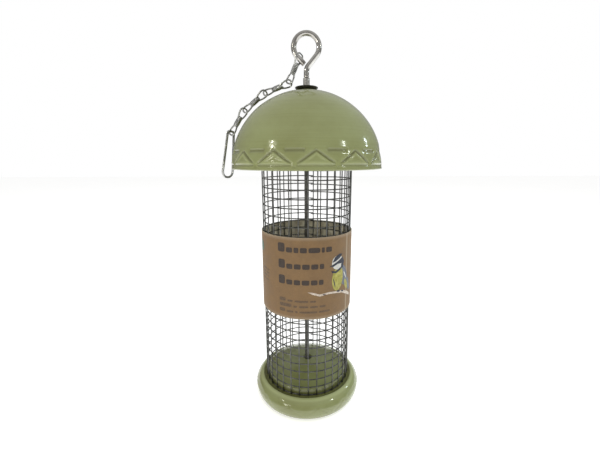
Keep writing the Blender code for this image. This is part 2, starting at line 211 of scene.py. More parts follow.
def metal(name, dark, light, rough, grain=(400, 400, 400), bump=0.15, stain=None):
    g = Graph(name)
    patch = g.noise(180, 4, 0.6)
    streak = g.noise(1.0, 3, 0.6, g.stretched(grain))
    tone = g.math("ADD", g.math("MULTIPLY", patch, 0.5), g.math("MULTIPLY", streak, 0.5))
    colour = g.ramp(tone, (0.36, dark), (0.64, light))
    if stain:
        colour = g.mix(g.spread(g.attribute("stain"), 0.0, 1.0, 0.0, 0.92), colour, stain)
    normal = g.bump(streak, bump, 0.0001)
    shade = g.spread(g.noise(600, 3), 0.3, 0.7, rough * 0.75, rough * 1.3)
    return g.finish(Base_Color=colour, Metallic=1.0, Roughness=shade, Normal=normal)


def dull(name, dark, light, rough, scale=700, bump=0.2):
    g = Graph(name)
    tone = g.noise(scale, 4, 0.6)
    colour = g.ramp(tone, (0.35, dark), (0.65, light))
    normal = g.bump(g.noise(scale * 2.5, 3), bump, 0.00015)
    shade = g.spread(g.noise(scale * 0.4, 2), 0.3, 0.7, rough * 0.85, min(1.0, rough * 1.12))
    return g.finish(Base_Color=colour, Roughness=shade, Normal=normal)


def kraft(name, light, dark, fibre, back):
    """Brown card: cloudy pulp, long and short fibres, a pale crease where it was bent."""
    g = Graph(name)
    pulp = g.noise(160, 5, 0.65)
    across = g.noise(1.0, 3, 0.6, g.stretched((900, 900, 5200), (0.2, 0.1, 0.0)))
    along = g.noise(1.0, 3, 0.6, g.stretched((3000, 3000, 700), (0.0, 0.3, 0.2)))
    tone = g.math("ADD", g.math("MULTIPLY", pulp, 0.5), g.math("MULTIPLY", across, 0.5))
    colour = g.ramp(tone, (0.36, dark), (0.64, light))
    colour = g.mix(g.spread(along, 0.66, 0.78, 0.0, 0.45), colour, fibre)
    colour = g.mix(g.spread(g.attribute("crease"), 0.0, 1.0, 0.0, 0.55), colour, fibre)
    colour = g.mix(g.attribute("inside"), colour, g.ramp(pulp, (0.3, back), (0.7, fibre)))
    height = g.math("ADD", across, along)
    normal = g.bump(height, 0.25, 0.00012)
    rough = g.spread(pulp, 0.3, 0.7, 0.55, 0.75)
    return g.finish(Base_Color=colour, Roughness=rough, Normal=normal)


# Meshes ----------------------------------------------------------------------


def mesh_object(name, points, faces, finish, body, smooth_angle=40):
    mesh = bpy.data.meshes.new(name)
    mesh.from_pydata(points.tolist(), [], faces)
    mesh.validate()
    made = bpy.data.objects.new(name, mesh)
    bpy.context.scene.collection.objects.link(made)
    mesh.materials.append(finish)
    mesh.shade_smooth()
    mesh.set_sharp_from_angle(angle=radians(smooth_angle))
    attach(made, body)
    return made


def level(made, name, values):
    made.data.attributes.new(name, "FLOAT", "POINT").data.foreach_set(
        "value", np.asarray(values, np.float32)
    )


def outline_normals(outline, closed):
    if closed:
        step = np.roll(outline, -1, 0) - np.roll(outline, 1, 0)
    else:
        step = np.gradient(outline, axis=0)
    normal = np.stack([-step[:, 1], step[:, 0]], 1)
    return normal / np.maximum(np.linalg.norm(normal, axis=1, keepdims=True), 1e-9)


def turned_points(outline, steps, closed=True, shape=None):
    """Points and quads of an outline of (radius, height) turned round Z, from the front (-Y).

    shape(angle, outline) gives how far each point stands out along the outline's normal.
    """
    outline = np.array(outline, float)
    count = len(outline)
    turn = 2 * pi * np.arange(steps) / steps
    radius = np.repeat(outline[:, :1], steps, 1)
    height = np.repeat(outline[:, 1:], steps, 1)
    if shape:
        out = shape(np.repeat(turn[None], count, 0), outline)
        normal = outline_normals(outline, closed)
        radius = radius + out * normal[:, :1]
        height = height + out * normal[:, 1:]
    points = np.stack([radius * np.sin(turn), -radius * np.cos(turn), height], 2)
    rows = np.arange(count if closed else count - 1)
    after = (rows + 1) % count
    columns = np.arange(steps)
    beside = (columns + 1) % steps
    a = (rows[:, None] * steps + columns).ravel()
    b = (after[:, None] * steps + columns).ravel()
    c = (after[:, None] * steps + beside).ravel()
    d = (rows[:, None] * steps + beside).ravel()
    return points.reshape(-1, 3), np.stack([a, b, c, d], 1).tolist()


def turned(name, outline, finish, body, steps=96, closed=True, shape=None, angle=40):
    points, faces = turned_points(outline, steps, closed, shape)
    return mesh_object(name, points, faces, finish, body, angle)


def tube_points(path, radius, sides=10, closed=False, first=0):
    """Points and faces of a round wire along a path. An open wire's first end is rounded over.

    Its last end is closed by a cup that reaches in to about the last point but one.
    """
    path = np.array(path, float)
    count = len(path)
    if closed:
        along = np.roll(path, -1, 0) - np.roll(path, 1, 0)
    else:
        along = np.gradient(path, axis=0)
    along /= np.linalg.norm(along, axis=1, keepdims=True)
    helper = np.array([0.0, 0.0, 1.0]) if abs(along[0][2]) < 0.9 else np.array([1.0, 0.0, 0.0])
    side = np.cross(along[0], helper)
    sides_at = []
    for direction in along:
        side = side - direction * side.dot(direction)
        side /= np.linalg.norm(side)
        sides_at.append(side)
    sides_at = np.array(sides_at)
    if closed:
        # The frame's twist after a full turn is spread along the wire.
        end = sides_at[-1] - along[0] * sides_at[-1].dot(along[0])
        other = np.cross(along[0], sides_at[0])
        twist = atan2(end.dot(other), end.dot(sides_at[0]))
        back = -twist * np.arange(count) / count
        up = np.cross(along, sides_at)
        sides_at = sides_at * np.cos(back)[:, None] + up * np.sin(back)[:, None]
    up = np.cross(along, sides_at)
    radii = np.full(count, radius, float)
    if not closed:
        for end, inward in ((0, 1), (count - 1, -1)):
            tip = path[end] - along[end] * inward * radius * 0.35
            radii[end] = radius * 0.92
            path = np.insert(path, end if inward == 1 else len(path), tip, 0)
            sides_at = np.insert(sides_at, end if inward == 1 else len(sides_at), sides_at[end], 0)
            up = np.insert(up, end if inward == 1 else len(up), up[end], 0)
            radii = np.insert(radii, end if inward == 1 else len(radii), radius * 0.5)
            along = np.insert(along, end if inward == 1 else len(along), along[end], 0)
            if inward == 1:
                count += 1
                continue
        count = len(path)
    turn = 2 * pi * np.arange(sides) / sides
    rim = sides_at[:, None] * np.cos(turn)[None, :, None] + up[:, None] * np.sin(turn)[None, :, None]
    points = (path[:, None] + rim * radii[:, None, None]).reshape(-1, 3)
    rows = np.arange(count if closed else count - 1)
    after = (rows + 1) % count
    columns = np.arange(sides)
    beside = (columns + 1) % sides
    a = (rows[:, None] * sides + columns).ravel()
    b = (rows[:, None] * sides + beside).ravel()
    c = (after[:, None] * sides + beside).ravel()
    d = (after[:, None] * sides + columns).ravel()
    faces = (np.stack([a, b, c, d], 1) + first).tolist()
    if not closed:
        faces.append([first + i for i in range(sides)][::-1])
        faces.append([first + (count - 1) * sides + i for i in range(sides)])
    return points, faces


def wires(name, paths, finish, body, angle=50):
    """One object of several wires: each path is (points, radius, sides, closed)."""
    points, faces, first = [], [], 0
    for path, radius, sides, closed in paths:
        made, quads = tube_points(path, radius, sides, closed, first)
        points.append(made)
        faces += quads
        first += len(made)
    return mesh_object(name, np.concatenate(points), faces, finish, body, angle)


def rounded(corners, radii, steps=8, closed=True):
    """A path through 2D corners, each turned with its own radius."""
    out = []
    count = len(corners)
    for i, (corner, radius) in enumerate(zip(corners, radii)):
        here = Vector(corner)
        if radius == 0 or (not closed and i in (0, count - 1)):
            out.append(tuple(here))
            continue
        before = (Vector(corners[i - 1]) - here).normalized()
        after = (Vector(corners[(i + 1) % count]) - here).normalized()
        half = before.angle(after) / 2
        reach = radius * cos(half) / sin(half)
        middle = here + (before + after).normalized() * (radius / sin(half))
        first = here + before * reach - middle
        sweep = first.angle_signed(here + after * reach - middle)
        for step in range(steps + 1):
            out.append(tuple(middle + Matrix.Rotation(-sweep * step / steps, 2) @ first))
    return out


def even(path, gap, closed=False):
    """The same path with points about gap apart."""
    path = np.array(path, float)
    if closed:
        path = np.concatenate([path, path[:1]])
    length = np.concatenate([[0], np.cumsum(np.linalg.norm(np.diff(path, axis=0), axis=1))])
    count = max(3, round(length[-1] / gap))
    at = np.linspace(0, length[-1], count, endpoint=not closed)
    return np.stack([np.interp(at, length, path[:, i]) for i in range(path.shape[1])], 1)


def low(node):
    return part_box(node)[0]


def high(node):
    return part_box(node)[1]


HINGES = {j["name"]: Vector(j["pos_m"]) for j in frame["joints"] if "pos_m" in j}

GLAZE = glaze("sage glaze", (0.255, 0.282, 0.122), (0.200, 0.210, 0.078), (0.086, 0.084, 0.022))
STEEL = metal("plain steel", (0.42, 0.41, 0.38), (0.60, 0.58, 0.54), 0.24, (500, 500, 500), 0.03)
COLLAR_STEEL = metal(
    "bright steel", (0.54, 0.52, 0.49), (0.72, 0.70, 0.66), 0.20, (160, 160, 160), 0.02
)
ROD_STEEL = dull("dull steel rod", (0.045, 0.044, 0.036), (0.105, 0.102, 0.088), 0.45)
ZINC = metal("zinc mesh wire", (0.06, 0.06, 0.058), (0.20, 0.20, 0.19), 0.40, (260, 260, 260), 0.04)
CHAIN = metal("zinc chain wire", (0.20, 0.20, 0.19), (0.56, 0.56, 0.54), 0.22, (380, 380, 380), 0.03)
RING_STEEL = metal(
    "bent steel", (0.46, 0.445, 0.415), (0.66, 0.64, 0.605), 0.17, (160, 160, 160), 0.02,
    (0.050, 0.026, 0.012),
)
DARK = dull("dark washer", (0.010, 0.009, 0.007), (0.030, 0.027, 0.020), 0.42)
RUBBER = dull("black rubber", (0.018, 0.018, 0.018), (0.040, 0.040, 0.038), 0.75)
CARD = kraft(
    "kraft card", (0.222, 0.130, 0.055), (0.155, 0.087, 0.032), (0.46, 0.40, 0.30), (0.90, 0.85, 0.68)
)


# Lid -------------------------------------------------------------------------


def to_segment(u, v, a, b):
    """Distance of the points (u, v) from the line between a and b."""
    along = np.subtract(b, a)
    t = np.clip(((u - a[0]) * along[0] + (v - a[1]) * along[1]) / along.dot(along), 0, 1)
    return np.hypot(u - a[0] - t * along[0], v - a[1] - t * along[1])


def to_triangle(u, v, corners):
    """Signed distance of the points (u, v) from a triangle, below zero inside it."""
    edge = np.full(np.shape(u), 1e9)
    inside = np.ones(np.shape(u), bool)
    for a, b in zip(corners, corners[1:] + corners[:1]):
        edge = np.minimum(edge, to_segment(u, v, a, b))
        inside &= (b[0] - a[0]) * (v - a[1]) - (b[1] - a[1]) * (u - a[0]) > 0
    return np.where(inside, -edge, edge)


def band(turn, height, radius, count, phase, base, apex, width, depth):
    """Pressed triangles with dashes over their gaps: (relief, how much glaze pools, how much painted
    highlight it gets).
    """
    pitch = 2 * pi / count
    step = (turn - phase + pitch / 2) % pitch - pitch / 2
    u = step * radius
    half = pitch * radius / 2
    corners = [(-0.80 * half, base), (0.80 * half, base), (0.0, apex - 0.9 * MM)]
    edge = to_triangle(u, height, corners) - 0.55 * MM
    dash = to_segment(np.abs(u), height, (half - 0.42 * half, apex), (half, apex))
    soft = 1 - 0.80 * np.exp(-(((height - base) / (1.3 * MM)) ** 2))
    cut = soft * np.exp(-((edge / width) ** 2))
    dash_cut = 0.9 * np.exp(-((dash / (1.35 * width)) ** 2))
    groove = np.maximum(cut, dash_cut)
    pillow = np.exp(-(((edge + 1.5 * width) / (1.3 * width)) ** 2))
    shoulder = np.exp(-(((edge - 1.5 * width) / (1.1 * width)) ** 2))
    below = 1 / (1 + np.exp(-(apex + 0.5 * MM - height) / (0.5 * MM)))
    relief = depth * (-groove + 0.50 * pillow + 0.25 * shoulder * below)
    return relief, groove, np.clip(0.5 * pillow + 0.3 * shoulder * below - groove, 0, 1)


def build_lid():
    lo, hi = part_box("dome_lid")
    rim_round = 0.8 * MM
    radius = hi.x
    rim = lo.z + rim_round
    tall = hi.z - rim
    wall = 3.8 * MM
    bore = 2.6 * MM
    band_base, band_apex = 3.3 * MM, 11.5 * MM
    groove_width, groove_depth = 0.80 * MM, 0.75 * MM
    hem_top = 3.4 * MM
    set_back = 0.22 * MM
    inner, inner_tall = radius - wall, tall - wall
    band_top = 15.0 * MM
    turn_band = pi / 2 - asin(band_top / tall)
    first = asin(bore / radius)
    inside = np.linspace(pi / 2, asin(bore / inner), 26)
    upper = np.linspace(first + 0.012, turn_band, 44, endpoint=False)
    lower = np.linspace(turn_band, pi / 2, 62)
    outside = np.concatenate([upper, lower])
    outline = [(inner * sin(a), rim + inner_tall * cos(a)) for a in inside]
    crown = rim + tall * cos(first)
    outline += [(bore, crown - 0.5 * MM), (bore + 0.15 * MM, crown - 0.12 * MM)]
    outline += [(radius * sin(a), rim + tall * cos(a)) for a in outside]
    middle = radius - wall / 2
    for a in np.linspace(0, pi, 10)[1:-1]:
        outline.append((middle + wall / 2 * cos(a), rim - rim_round * sin(a)))
    start = len(inside) + 2 + len(upper)
    end = start + len(lower)
    stored = {}

    def shape(turn, path):
        height = path[:, 1:] - rim + 0 * turn
        relief, groove, thin = band(
            turn, height, radius, TRIANGLES_ROUND, TRIANGLE_TURN,
            band_base, band_apex, groove_width, groove_depth,
        )
        rows = np.zeros((len(path), 1))
        rows[start:end] = 1
        fade = np.clip(height / (1.5 * MM), 0, 1)
        hem = np.clip((hem_top - height) / (1.2 * MM), 0, 1) * 0.35
        stored["pool_and_shade"] = np.maximum(groove * fade, hem) * rows
        # Painted highlight: the pillows' edges and a line just above the rim are made paler through the
        # thin attribute.
        edge = np.exp(-((height - 0.4 * MM) / (0.5 * MM)) ** 2) * rows
        stored["thin"] = np.clip(thin * rows + 0.25 * edge, 0, 1)
        # All is set back from the turned outline, so that what is raised keeps inside the lid's width.
        wave = 0.10 * MM * np.sin(3 * turn + 1.0) * np.sin(2 * pi * height / (38 * MM))
        wave = wave + 0.05 * MM * np.sin(7 * turn + height / (4 * MM))
        outer = np.zeros((len(path), 1))
        outer[len(inside) + 3 : end] = 1
        return (relief - set_back) * rows * fade + (wave - 0.14 * MM) * outer * fade

    made = turned("dome_lid_glazed", outline, GLAZE, "lid", 640, True, shape, 60)
    level(made, "pool_and_shade", stored["pool_and_shade"].ravel())
    level(made, "thin", stored["thin"].ravel())
    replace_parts(made, "dome_lid")


def build_tray():
    lo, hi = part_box("tray")
    radius = hi.x
    top = hi.z
    bore = 3.3 * MM
    off_centre = 0.6 * MM
    plug = 31.44 * MM
    groove_floor = low("mesh_cage_1").z - 0.3 * MM
    plug_edge = groove_floor + 4.4 * MM
    band_base, band_apex = 4.3 * MM, 11.6 * MM
    groove_width, groove_depth = 0.75 * MM, 0.16 * MM
    lip_inner = 34.14 * MM
    crest = 36.7 * MM
    crest_top = 16.0 * MM
    widest = 9.5 * MM
    foot_out, foot_in = radius - 5 * MM, radius - 12 * MM
    seat = high("tray_seal").z + 0.3 * MM
    outline = [(bore, seat), (bore, top - 0.9 * MM), (bore + 0.25 * MM, top - 0.35 * MM)]
    for share in np.linspace(0.03, 0.975, 30):
        r = bore + (plug - bore) * share
        outline.append((r, top - (top - plug_edge) * (r / plug) ** 2 - 0.05 * MM))
    outline += [(plug - 0.25 * MM, plug_edge - 0.15 * MM), (plug - 0.02 * MM, plug_edge - 0.7 * MM)]
    outline += [(plug, groove_floor + 0.9 * MM), (plug + 0.25 * MM, groove_floor + 0.25 * MM)]
    outline += [(plug + 0.8 * MM, groove_floor), (lip_inner - 0.5 * MM, groove_floor)]
    floor_end = len(outline)
    for a in np.linspace(0.15, 1.0, 8):
        outline.append(
            (
                lip_inner + (crest - lip_inner) * a,
                groove_floor + (crest_top - groove_floor) * sin(a * pi / 2),
            )
        )
    wall_start = len(outline)
    for a in np.linspace(0, pi / 2, 30)[1:]:
        out, rise = sin(a) ** (2 / 1.45), max(cos(a), 0) ** (2 / 1.45)
        outline.append((crest + (radius - crest) * out, widest + (crest_top - widest) * rise))
    for a in np.linspace(0, pi / 2, 24)[1:-1]:
        outline.append((foot_out + (radius - foot_out) * cos(a), widest * (1 - sin(a))))
    wall_end = len(outline)
    outline += [(foot_out - 0.4 * MM, 0.0), (foot_in + 0.5 * MM, 0.0), (foot_in, 0.4 * MM)]
    outline += [(foot_in - 2 * MM, 0.5 * seat), (13 * MM, seat - 1.5 * MM), (9 * MM, seat)]
    stored = {}

    def shape(turn, path):
        height = path[:, 1:] + 0 * turn
        relief, groove, _ = band(
            turn, height, radius, 12, radians(11), band_base, band_apex, groove_width, groove_depth
        )
        rows = np.zeros((len(path), 1))
        rows[wall_start:wall_end] = 1
        fade = np.clip(height / (2.0 * MM), 0, 1)
        hem = np.clip((2.4 * MM - height) / (1.6 * MM), 0, 1) * 0.5
        stored["pool_and_shade"] = np.maximum(0.16 * groove * fade, hem) * rows
        # Painted shade: the groove round the cage's foot is set nearly fully dark.
        channel_shade = np.zeros((len(path), 1))
        channel_shade[floor_end - 5 : floor_end + 5] = 0.95
        stored["pool_and_shade"] = np.maximum(stored["pool_and_shade"], channel_shade)
        # Painted highlight: a pale line along the top of the crest, set through the thin attribute.
        crest_highlight_rows = np.zeros((len(path), 1))
        crest_highlight_rows[floor_end + 5 : wall_end] = 1
        stored["thin"] = np.exp(-(((height - crest_top + 0.4 * MM) / (0.9 * MM)) ** 2)) * crest_highlight_rows
        floor = np.zeros((len(path), 1))
        floor[3 : floor_end - 6] = 1
        ripple = 0.05 * MM * np.sin(path[:, :1] / (0.55 * MM)) * floor
        hole = np.zeros((len(path), 1))
        hole[:3] = 1
        shift = -off_centre * np.sin(turn) * hole
        return (relief - 0.08 * MM) * rows * fade + ripple - 0.05 * MM * floor + shift

    made = turned("tray_glazed", outline, GLAZE, "base", 360, True, shape, 60)
    level(made, "pool_and_shade", stored["pool_and_shade"].ravel())
    level(made, "thin", 0.8 * stored["thin"].ravel())
    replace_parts(made, "tray")


# Rod and fastenings ----------------------------------------------------------


def build_rod():
    lo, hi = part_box("centre_rod")
    radius = hi.x
    thin = 1.4 * MM
    shoulder = low("eye_collar").z - 0.5 * MM
    pitch, thread_depth = 0.7 * MM, 0.22 * MM
    thread_top = 19.0 * MM
    rows = [(0.0001 * MM, lo.z), (radius - 0.35 * MM, lo.z)]
    rows += [(radius, z) for z in np.arange(lo.z + 0.3 * MM, thread_top, pitch / 6)]
    plain_start = len(rows)
    rows += [(radius, z) for z in np.linspace(thread_top, shoulder - 0.3 * MM, 30)]
    rows += [(radius - 0.3 * MM, shoulder)]
    rows += [(thin, z) for z in np.linspace(shoulder, hi.z - 0.2 * MM, 6)]
    rows += [(thin - 0.25 * MM, hi.z), (0.0001 * MM, hi.z)]

    def shape(turn, path):
        height = path[:, 1:] + 0 * turn
        wave = np.abs(((height / pitch - turn / (2 * pi)) % 1) * 2 - 1)
        on = np.zeros((len(path), 1))
        on[2:plain_start] = 1
        # The outline runs up the outside, so its normal points inward.
        return thread_depth * wave * on

    made = turned("rod_threaded", rows, ROD_STEEL, "base", 28, False, shape, 35)
    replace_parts(made, "centre_rod")


def build_fastenings():
    for node, name, finish, slot, bead in (
        ("tray_seal", "rubber_seal", RUBBER, "rubber", 0.5 * MM),
        ("tray_washer", "flat_washer", STEEL, "steel", 0.15 * MM),
    ):
        lo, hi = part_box(node)
        bore = 2.05 * MM
        outside = hi.x
        outline = rounded(
            [(bore, lo.z), (outside, lo.z), (outside, hi.z), (bore, hi.z)],
            [0.12 * MM, bead, bead, 0.12 * MM], 4,
        )
        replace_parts(turned(name, outline, finish, "base", 72), node)
    build_nut()


def build_nut():
    """Hexagon nut with chamfered corners and a threaded bore."""
    lo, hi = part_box("tray_nut")
    flats = 3.5 * MM
    bore = 2.05 * MM
    steps = 96
    turn = 2 * pi * np.arange(steps) / steps
    hexagon = flats / np.cos((turn + pi / 6) % (pi / 3) - pi / 6)
    rows = []
    for z, most in (
        (lo.z, 3.45), (lo.z + 0.35 * MM, 4.02), (hi.z - 0.35 * MM, 4.02), (hi.z, 3.45)
    ):
        rows.append((np.minimum(hexagon, most * MM), np.full(steps, z)))
    rows.append((np.full(steps, bore + 0.35 * MM), np.full(steps, hi.z)))
    for z in np.linspace(hi.z - 0.35 * MM, lo.z + 0.35 * MM, 28):
        wave = np.abs(((z / (0.7 * MM) - turn / (2 * pi)) % 1) * 2 - 1)
        rows.append((bore + 0.2 * MM * wave, np.full(steps, z)))
    rows.append((np.full(steps, bore + 0.35 * MM), np.full(steps, lo.z)))
    points = np.array([np.stack([r * np.sin(turn), -r * np.cos(turn), z], 1) for r, z in rows])
    _, faces = turned_points([(1, 1)] * len(rows), steps)
    made = mesh_object("hex_nut", points.reshape(-1, 3), faces, STEEL, "base", 30)
    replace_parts(made, "tray_nut")


def build_lid_washer():
    lo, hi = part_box("lid_washer")
    bore = 2.05 * MM
    edge = hi.x
    top = hi.z
    under = lo.z - 0.45 * MM
    outline = [
        (bore, under + 0.15 * MM), (bore, top - 0.25 * MM), (bore + 0.2 * MM, top - 0.15 * MM),
        (3.2 * MM, top - 0.15 * MM), (edge - 2.6 * MM, top - 0.45 * MM), (edge - 1.2 * MM, top - 0.30 * MM),
        (edge - 0.35 * MM, top), (edge - 0.05 * MM, top - 0.05 * MM), (edge, top - 0.35 * MM),
        (edge - 0.45 * MM, top - 0.85 * MM), (edge - 1.6 * MM, under + 0.30 * MM),
        (edge - 2.8 * MM, under), (bore + 0.3 * MM, under),
    ]
    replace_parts(turned("cupped_washer", outline, DARK, "lid", 96), "lid_washer")


def build_collar():
    lo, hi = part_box("eye_collar")
    radius = hi.x
    bore = 1.75 * MM
    outline = [(bore, lo.z), (bore, hi.z), (radius - 0.35 * MM, hi.z), (radius, hi.z - 0.3 * MM)]
    for z in np.linspace(hi.z - 0.8 * MM, lo.z + 0.8 * MM, 9):
        outline.append((radius - 0.02 * MM * (1 + cos(z / (0.2 * MM))), z))
    outline += [(radius, lo.z + 0.3 * MM), (radius - 0.3 * MM, lo.z)]
    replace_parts(turned("eye_collar", outline, COLLAR_STEEL, "eye", 64), "eye_collar")


# Eye and chain ---------------------------------------------------------------


def build_eye():
    lo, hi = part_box("eye")
    centre = hi.z - EYE_RADIUS - EYE_WIRE
    leaves, ends = radians(-40), radians(225)
    bend_radius = 6 * MM
    tail_length = 6.6 * MM
    spigot_radius = 1.38 * MM
    stem = high("eye_collar").z + 0.35 * MM
    joins = Vector((cos(leaves), sin(leaves))) * EYE_RADIUS
    rise = Vector((-sin(leaves), cos(leaves)))
    corner = joins - rise * (joins.x / rise.x)
    up = Vector((0, centre))
    bend = rounded([(0, stem), tuple(corner + up), tuple(joins + up)], [0, bend_radius, 0], 14, False)
    ring = [
        (EYE_RADIUS * cos(a), centre + EYE_RADIUS * sin(a)) for a in np.linspace(leaves, ends, 90)
    ]
    tail = Vector(ring[-1])
    along = Vector((-sin(ends), cos(ends)))
    path = [*bend[:-1], *ring, tuple(tail + along * tail_length)]
    path = even([(x, 0.0, z) for x, z in path], 0.5 * MM)
    spigot = [(0.0, 0.0, z) for z in np.linspace(lo.z + 0.1 * MM, stem + 1.0 * MM, 6)]
    made = wires(
        "eye_ring",
        [(path, EYE_WIRE - 0.01 * MM, 28, False), (spigot, spigot_radius, 20, False)],
        RING_STEEL, "eye",
    )
    points = np.array([v.co for v in made.data.vertices])
    tip = np.array([path[-1][0], 0.0, path[-1][2]])
    weld = np.linalg.norm(points - tip, axis=1)
    burnt = np.exp(-((weld / (2.6 * MM)) ** 2))
    foot = np.exp(-(((points[:, 2] - stem) / (1.2 * MM)) ** 2)) * 0.5
    worn = 0.22 * np.clip((points[:, 2] - centre) / EYE_RADIUS, 0, 1)
    level(made, "stain", np.clip(burnt + foot + worn, 0, 1))
    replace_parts(made, "eye")


def teardrop(neck, half_width, near, far, corner, gap=0.35 * MM):
    corners = [(-neck, near), (-half_width, far), (half_width, far), (neck, near)]
    return even(rounded(corners, [neck * 0.6, corner, corner, neck * 0.6], 8), gap, True)


def bellied(neck, half_width, near, far, corner, gap=0.35 * MM):
    """A loop that widens quickly from its neck, then runs nearly straight to its round end."""
    middle = near + 0.55 * (far - near)
    right = [(half_width, far), (0.80 * half_width, middle), (neck, near)]
    left = [(-u, v) for u, v in right[::-1]]
    radii = [neck * 0.6, 5.0 * MM, corner]
    return even(rounded(left + right, radii + radii[::-1], 8), gap, True)


def coil(low_z, high_z, radius, turns, phase, gap=0.3 * MM):
    """A wire wound round a link's waist, its ends tucked in."""
    count = int(turns * 22)
    t = np.linspace(0, 1, count)
    swell = radius * (1 - 0.28 * np.abs(2 * t - 1) ** 3)
    a = phase + 2 * pi * turns * t
    z = low_z + (high_z - low_z) * t
    return np.stack([swell * np.cos(a), swell * np.sin(a), z], 1)


def link_paths(number):
    """One chain link hanging from the origin: two loops at right angles and their wound waist."""
    knot = (LINK_PITCH - LINK_SLACK) / 2
    lower = bellied(LINK_NECK, LINK_HALF_WIDTH, -knot, -LINK_PITCH, LINK_CORNER)
    upper = bellied(LINK_NECK, LINK_HALF_WIDTH, -knot, LINK_SLACK, LINK_CORNER)
    paths = [
        (np.stack([lower[:, 0], 0 * lower[:, 0], lower[:, 1]], 1), LINK_WIRE, 10, True),
        (np.stack([0 * upper[:, 0], upper[:, 0], upper[:, 1]], 1), LINK_WIRE, 10, True),
    ]
    for hand in (0.0, pi):
        wound = coil(-knot - KNOT_REACH, -knot + KNOT_REACH, KNOT_RADIUS, KNOT_TURNS, hand + number)
        paths.append((wound, LINK_WIRE, 10, False))
    return paths


def build_chain():
    names = [f"link_{i}_swing" for i in range(1, 5)] + ["loop_swing"]
    hinges = [HINGES[name] for name in names]
    for i in range(4):
        way = hinges[i + 1] - hinges[i]
        lean = Matrix.Rotation(atan2(-way.x, -way.z), 3, "Y")
        turn = np.array(lean @ Matrix.Rotation(LINK_TURN, 3, "Z"))
        paths = []
        for path, radius, sides, closed in link_paths(i + 1):
            if i == 0:
                path = path + np.array([0, 0, RING_SLACK])
            paths.append((path @ turn.T + np.array(hinges[i]), radius, sides, closed))
        made = wires(f"knotted_link_{i + 1}", paths, CHAIN, f"link_{i + 1}")
        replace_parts(made, f"chain_link_{i + 1}")
    build_loop(hinges[-1])


def build_loop(hinge):
    half_width, top_half_width = 4.65 * MM, 2.6 * MM
    slack, corner = 2.3 * MM, 4.0 * MM
    points = teardrop(top_half_width, half_width, slack, -LOOP_LENGTH, corner, 0.5 * MM)
    side = hinge.x - low("hanging_loop").x - half_width * cos(LOOP_TURN) - LOOP_WIRE
    lean = asin(side / LOOP_LENGTH)
    turn = Matrix.Rotation(lean, 3, "Y") @ Matrix.Rotation(LOOP_TURN, 3, "Z")
    path = np.stack([points[:, 0], 0 * points[:, 0], points[:, 1]], 1) @ np.array(turn).T
    made = wires(
        "end_loop", [(path + np.array(hinge), LOOP_WIRE, 16, True)], CHAIN, "loop"
    )
    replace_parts(made, "hanging_loop")


# Cage ------------------------------------------------------------------------


def build_cage():
    """Every wire of the mesh: rings inside, uprights welded outside, ends lapped at the back."""
    strips = sorted(node for node in frame["nodes"] if node.startswith("mesh_cage"))
    lo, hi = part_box(strips[0])
    wire = MESH_WIRE / 2
    first = lo.z + wire
    count = round((hi.z - lo.z - MESH_WIRE) / MESH_PITCH) + 1
    seam = pi - radians(10)
    lap = radians(4)
    droop, lapped_in = 0.45 * MM, 0.45 * MM
    wave, bend = 0.06 * MM, 0.05 * MM
    rng = np.random.default_rng(7)
    paths = []
    for i in range(count):
        turn = np.linspace(seam - 2 * pi, seam + lap, 150)
        share = np.linspace(0, 1, 150)
        ends = min(i, count - 1 - i, 2) / 2
        drop = droop * ends * (1 - 2 * share)
        wobble = wave * ends * np.sin(5 * turn + rng.uniform(0, 6))
        radius = RING_RADIUS - lapped_in * np.clip((share - 0.97) / 0.03, 0, 1)
        paths.append(
            (
                np.stack(
                    [radius * np.sin(turn), -radius * np.cos(turn), first + i * MESH_PITCH + drop + wobble],
                    1,
                ),
                wire, 8, False,
            )
        )
    for i in range(WIRES_ROUND):
        turn = radians(1.4) + 2 * pi * i / WIRES_ROUND
        heights = np.linspace(lo.z + 0.1 * MM, hi.z - 0.1 * MM, 34)
        bow = bend * np.sin(heights / (23 * MM) + rng.uniform(0, 6))
        radius = RING_RADIUS + 1.9 * wire + 0 * heights
        skew = turn + bow / RING_RADIUS
        paths.append(
            (np.stack([radius * np.sin(skew), -radius * np.cos(skew), heights], 1), wire, 8, False)
        )
    made = wires("welded_mesh", paths, ZINC, "cage", 60)
    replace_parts(made, *strips)


# Sleeve ----------------------------------------------------------------------


def build_sleeve():
    lo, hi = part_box("card_sleeve")
    outer = hi.x
    inner = outer - 0.45 * MM
    heights = np.linspace(lo.z, hi.z, 24)
    outline = [(inner, z) for z in heights] + [(outer, z) for z in heights[::-1]]
    creases = (radians(57), radians(-52), radians(150))

    def shape(turn, path):
        fold = sum(
            np.exp(-((((turn - at + pi) % (2 * pi) - pi) / radians(1.6)) ** 2)) for at in creases
        )
        buckle = 0.06 * MM * np.sin(9 * turn) * np.sin(path[:, 1:] / (9 * MM))
        rows = np.ones((len(path), 1))
        rows[: len(heights)] = 0
        return -(0.06 * MM * fold + np.abs(buckle)) * rows

    made = turned("printed_sleeve", outline, CARD, "sleeve", 360, True, shape, 30)
    points = np.array([v.co for v in made.data.vertices])
    turn = np.arctan2(points[:, 0], -points[:, 1])
    crease = sum(
        np.exp(-((((turn - at + pi) % (2 * pi) - pi) / radians(1.2)) ** 2)) for at in creases[:1]
    )
    rim = np.minimum(points[:, 2] - lo.z, hi.z - points[:, 2])
    level(made, "crease", np.clip(crease + 0.6 * np.exp(-((rim / (0.25 * MM)) ** 2)), 0, 1))
    out_of = np.hypot(points[:, 0], points[:, 1]) - inner
    level(made, "inside", out_of < 0.15 * MM)
    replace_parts(made, "card_sleeve")
    build_prints(outer + 0.01 * MM, hi.z)


